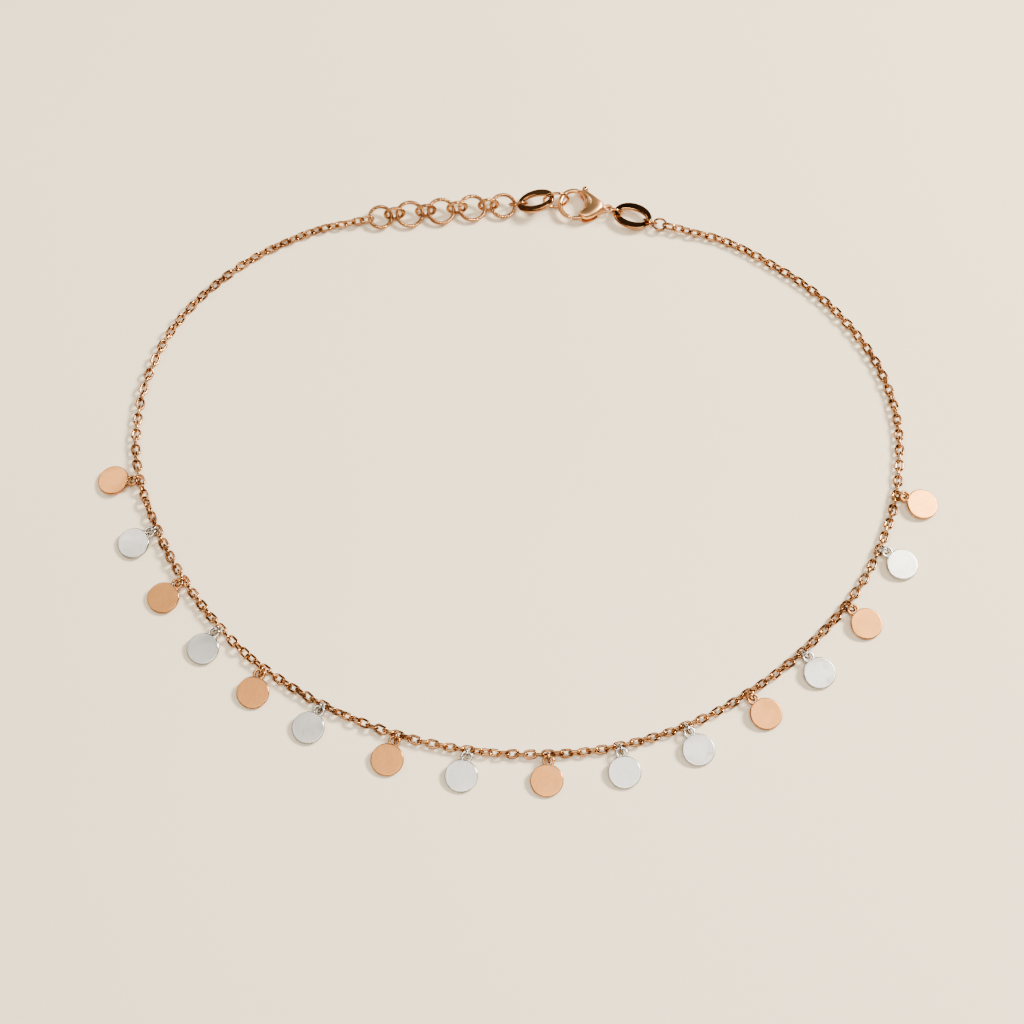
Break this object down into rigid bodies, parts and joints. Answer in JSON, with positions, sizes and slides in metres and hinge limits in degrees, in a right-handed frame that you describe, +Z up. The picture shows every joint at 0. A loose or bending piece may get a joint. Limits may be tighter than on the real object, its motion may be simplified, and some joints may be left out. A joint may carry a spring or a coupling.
{
  "type": "charm anklet",
  "caption": "Charm anklet: a fine two-tone cable chain loop with small round disc charms, a lobster clasp and a ring extender.",
  "frame": {"origin": "middle of the underside of the bounding box of the anklet as it lies in its open loop", "axes": "+X to the right and +Y away from the viewer as in the picture, with the charms at the front and the clasp at the back; +Z up off the surface"},
  "size_m": [0.105, 0.0858, 0.0036],
  "materials": {
    "rose_gold": "polished rose gold plating",
    "rose_satin": "fine satin rose gold plating",
    "silver": "polished silver-white plating",
    "silver_satin": "fine satin silver-white plating"
  },
  "bodies": {
    "anklet": {"chain_left": "rose_gold", "chain_right": "rose_gold", "clasp_body": "rose_gold", "claw_ring": "rose_gold", "left_oval": "rose_gold", "right_oval": "rose_gold", "small_ring": "rose_gold", "small_link": "rose_gold", "round_end_link": "rose_gold", "tail_ring": "rose_gold", "extender_ring_1": "rose_gold", "extender_ring_2": "rose_gold", "extender_ring_3": "rose_gold", "extender_ring_4": "rose_gold", "extender_ring_5": "rose_gold", "connector_1": "rose_gold", "connector_2": "rose_gold", "connector_3": "rose_gold", "connector_4": "rose_gold", "charm_01": "rose_satin", "charm_ring_01": "rose_gold", "charm_02": "silver_satin", "charm_ring_02": "silver", "charm_03": "rose_satin", "charm_ring_03": "rose_gold", "charm_04": "silver_satin", "charm_ring_04": "silver", "charm_05": "rose_satin", "charm_ring_05": "rose_gold", "charm_06": "silver_satin", "charm_ring_06": "silver", "charm_07": "rose_satin", "charm_ring_07": "rose_gold", "charm_08": "silver_satin", "charm_ring_08": "silver", "charm_09": "rose_satin", "charm_ring_09": "rose_gold", "charm_10": "silver_satin", "charm_ring_10": "silver", "charm_11": "silver_satin", "charm_ring_11": "silver", "charm_12": "rose_satin", "charm_ring_12": "rose_gold", "charm_13": "silver_satin", "charm_ring_13": "silver", "charm_14": "rose_satin", "charm_ring_14": "rose_gold", "charm_15": "silver_satin", "charm_ring_15": "silver", "charm_16": "rose_satin", "charm_ring_16": "rose_gold"},
    "lever": {"clasp_lever": "rose_gold"}
  },
  "joints": [
    {"name": "clasp_lever", "type": "hinge", "parent": "anklet", "child": "lever", "pos_m": [0.00954, 0.03875, 0.00095], "axis": [0, 0, -1], "range_deg": [0, 30], "stiffness_Nm_per_rad": 0.004}
  ]
}
